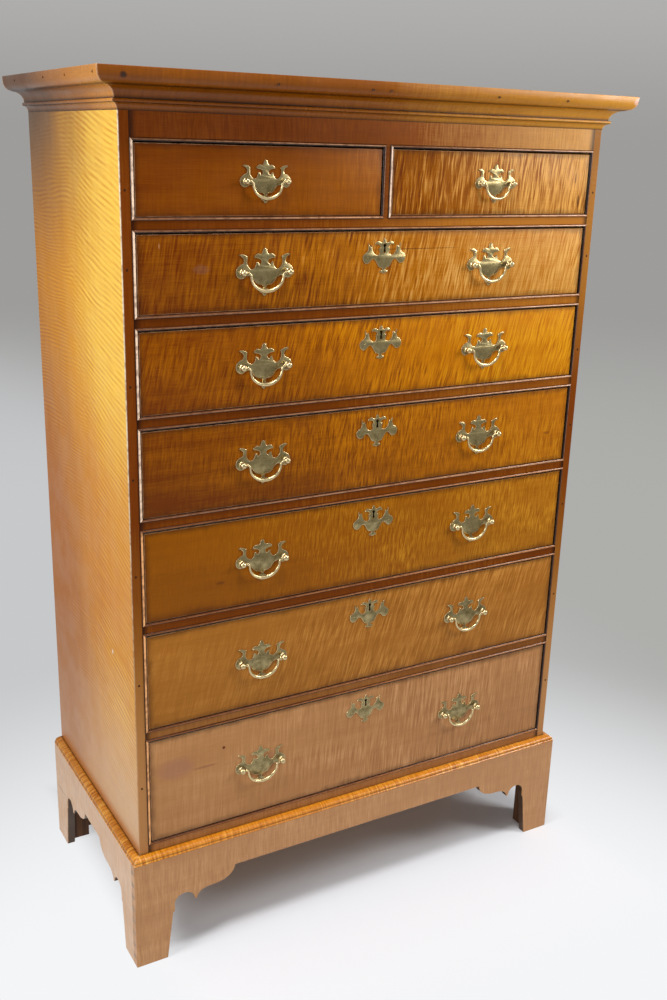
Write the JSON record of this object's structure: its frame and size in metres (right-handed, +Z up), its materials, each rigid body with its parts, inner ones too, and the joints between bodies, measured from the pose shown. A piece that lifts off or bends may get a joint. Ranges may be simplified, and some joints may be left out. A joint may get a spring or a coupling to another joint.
{
  "type": "tall chest of drawers",
  "caption": "Tall wooden chest with small drawers over wide graduated drawers, a moulded cornice, a bracket base and brass drop handles.",
  "frame": {"origin": "on the floor, at the centre of the whole outline seen from above", "axes": "+Z up, -Y towards the front, where the drawers open, +X to the right seen from the front"},
  "size_m": [0.998, 0.502, 1.5148],
  "materials": {
    "front_maple": "figured maple with an aged amber varnish, satin",
    "side_maple": "figured maple with an aged golden varnish, satin",
    "secondary_wood": "bare aged pine and poplar",
    "aged_brass": "cast brass with a dull olive patina and rubbed edges"
  },
  "bodies": {
    "case": {"left_side": "side_maple", "right_side": "side_maple", "top_and_frieze": "front_maple", "bottom_and_lower_rail": "front_maple", "back_boards": "secondary_wood", "rail_1": "front_maple", "rail_2": "front_maple", "rail_3": "front_maple", "rail_4": "front_maple", "rail_5": "front_maple", "rail_6": "front_maple", "small_drawer_divider": "front_maple", "cornice": "front_maple", "base_front": "front_maple", "base_left": "side_maple", "base_right": "side_maple"},
    "drawer_row1_left": {"drawer_front_row1_left": "front_maple", "drawer_box_row1_left": "secondary_wood", "pull_plate_row1_left": "aged_brass"},
    "bail_row1_left": {"bail_row1_left": "aged_brass"},
    "drawer_row1_right": {"drawer_front_row1_right": "front_maple", "drawer_box_row1_right": "secondary_wood", "pull_plate_row1_right": "aged_brass"},
    "bail_row1_right": {"bail_row1_right": "aged_brass"},
    "drawer_row2": {"drawer_front_row2": "front_maple", "drawer_box_row2": "secondary_wood", "pull_plate_row2_left": "aged_brass", "pull_plate_row2_right": "aged_brass"},
    "bail_row2_left": {"bail_row2_left": "aged_brass"},
    "bail_row2_right": {"bail_row2_right": "aged_brass"},
    "drawer_row3": {"drawer_front_row3": "front_maple", "drawer_box_row3": "secondary_wood", "pull_plate_row3_left": "aged_brass", "pull_plate_row3_right": "aged_brass"},
    "bail_row3_left": {"bail_row3_left": "aged_brass"},
    "bail_row3_right": {"bail_row3_right": "aged_brass"},
    "drawer_row4": {"drawer_front_row4": "front_maple", "drawer_box_row4": "secondary_wood", "pull_plate_row4_left": "aged_brass", "pull_plate_row4_right": "aged_brass"},
    "bail_row4_left": {"bail_row4_left": "aged_brass"},
    "bail_row4_right": {"bail_row4_right": "aged_brass"},
    "drawer_row5": {"drawer_front_row5": "front_maple", "drawer_box_row5": "secondary_wood", "pull_plate_row5_left": "aged_brass", "pull_plate_row5_right": "aged_brass"},
    "bail_row5_left": {"bail_row5_left": "aged_brass"},
    "bail_row5_right": {"bail_row5_right": "aged_brass"},
    "drawer_row6": {"drawer_front_row6": "front_maple", "drawer_box_row6": "secondary_wood", "pull_plate_row6_left": "aged_brass", "pull_plate_row6_right": "aged_brass"},
    "bail_row6_left": {"bail_row6_left": "aged_brass"},
    "bail_row6_right": {"bail_row6_right": "aged_brass"},
    "drawer_row7": {"drawer_front_row7": "front_maple", "drawer_box_row7": "secondary_wood", "pull_plate_row7_left": "aged_brass", "pull_plate_row7_right": "aged_brass"},
    "bail_row7_left": {"bail_row7_left": "aged_brass"},
    "bail_row7_right": {"bail_row7_right": "aged_brass"}
  },
  "joints": [
    {"name": "drawer_row1_left_slide", "type": "slide", "parent": "case", "child": "drawer_row1_left", "axis": [0, -1, 0], "range_m": [0, 0.33]},
    {"name": "bail_row1_left_swing", "type": "hinge", "parent": "drawer_row1_left", "child": "bail_row1_left", "pos_m": [-0.22225, -0.21851, 1.3626], "axis": [-1, 0, 0], "range_deg": [-10, 170]},
    {"name": "drawer_row1_right_slide", "type": "slide", "parent": "case", "child": "drawer_row1_right", "axis": [0, -1, 0], "range_m": [0, 0.33]},
    {"name": "bail_row1_right_swing", "type": "hinge", "parent": "drawer_row1_right", "child": "bail_row1_right", "pos_m": [0.22225, -0.21851, 1.3626], "axis": [-1, 0, 0], "range_deg": [-10, 170]},
    {"name": "drawer_row2_slide", "type": "slide", "parent": "case", "child": "drawer_row2", "axis": [0, -1, 0], "range_m": [0, 0.33]},
    {"name": "bail_row2_left_swing", "type": "hinge", "parent": "drawer_row2", "child": "bail_row2_left", "pos_m": [-0.22225, -0.22, 1.2256], "axis": [-1, 0, 0], "range_deg": [-10, 170]},
    {"name": "bail_row2_right_swing", "type": "hinge", "parent": "drawer_row2", "child": "bail_row2_right", "pos_m": [0.22225, -0.22, 1.2256], "axis": [-1, 0, 0], "range_deg": [-10, 170]},
    {"name": "drawer_row3_slide", "type": "slide", "parent": "case", "child": "drawer_row3", "axis": [0, -1, 0], "range_m": [0, 0.33]},
    {"name": "bail_row3_left_swing", "type": "hinge", "parent": "drawer_row3", "child": "bail_row3_left", "pos_m": [-0.22225, -0.22, 1.0756], "axis": [-1, 0, 0], "range_deg": [-10, 170]},
    {"name": "bail_row3_right_swing", "type": "hinge", "parent": "drawer_row3", "child": "bail_row3_right", "pos_m": [0.22225, -0.22, 1.0756], "axis": [-1, 0, 0], "range_deg": [-10, 170]},
    {"name": "drawer_row4_slide", "type": "slide", "parent": "case", "child": "drawer_row4", "axis": [0, -1, 0], "range_m": [0, 0.33]},
    {"name": "bail_row4_left_swing", "type": "hinge", "parent": "drawer_row4", "child": "bail_row4_left", "pos_m": [-0.22225, -0.22, 0.9141], "axis": [-1, 0, 0], "range_deg": [-10, 170]},
    {"name": "bail_row4_right_swing", "type": "hinge", "parent": "drawer_row4", "child": "bail_row4_right", "pos_m": [0.22225, -0.22, 0.9141], "axis": [-1, 0, 0], "range_deg": [-10, 170]},
    {"name": "drawer_row5_slide", "type": "slide", "parent": "case", "child": "drawer_row5", "axis": [0, -1, 0], "range_m": [0, 0.33]},
    {"name": "bail_row5_left_swing", "type": "hinge", "parent": "drawer_row5", "child": "bail_row5_left", "pos_m": [-0.22225, -0.22, 0.73985], "axis": [-1, 0, 0], "range_deg": [-10, 170]},
    {"name": "bail_row5_right_swing", "type": "hinge", "parent": "drawer_row5", "child": "bail_row5_right", "pos_m": [0.22225, -0.22, 0.73985], "axis": [-1, 0, 0], "range_deg": [-10, 170]},
    {"name": "drawer_row6_slide", "type": "slide", "parent": "case", "child": "drawer_row6", "axis": [0, -1, 0], "range_m": [0, 0.33]},
    {"name": "bail_row6_left_swing", "type": "hinge", "parent": "drawer_row6", "child": "bail_row6_left", "pos_m": [-0.22225, -0.22, 0.55085], "axis": [-1, 0, 0], "range_deg": [-10, 170]},
    {"name": "bail_row6_right_swing", "type": "hinge", "parent": "drawer_row6", "child": "bail_row6_right", "pos_m": [0.22225, -0.22, 0.55085], "axis": [-1, 0, 0], "range_deg": [-10, 170]},
    {"name": "drawer_row7_slide", "type": "slide", "parent": "case", "child": "drawer_row7", "axis": [0, -1, 0], "range_m": [0, 0.33]},
    {"name": "bail_row7_left_swing", "type": "hinge", "parent": "drawer_row7", "child": "bail_row7_left", "pos_m": [-0.22225, -0.22, 0.3416], "axis": [-1, 0, 0], "range_deg": [-10, 170]},
    {"name": "bail_row7_right_swing", "type": "hinge", "parent": "drawer_row7", "child": "bail_row7_right", "pos_m": [0.22225, -0.22, 0.3416], "axis": [-1, 0, 0], "range_deg": [-10, 170]}
  ]
}
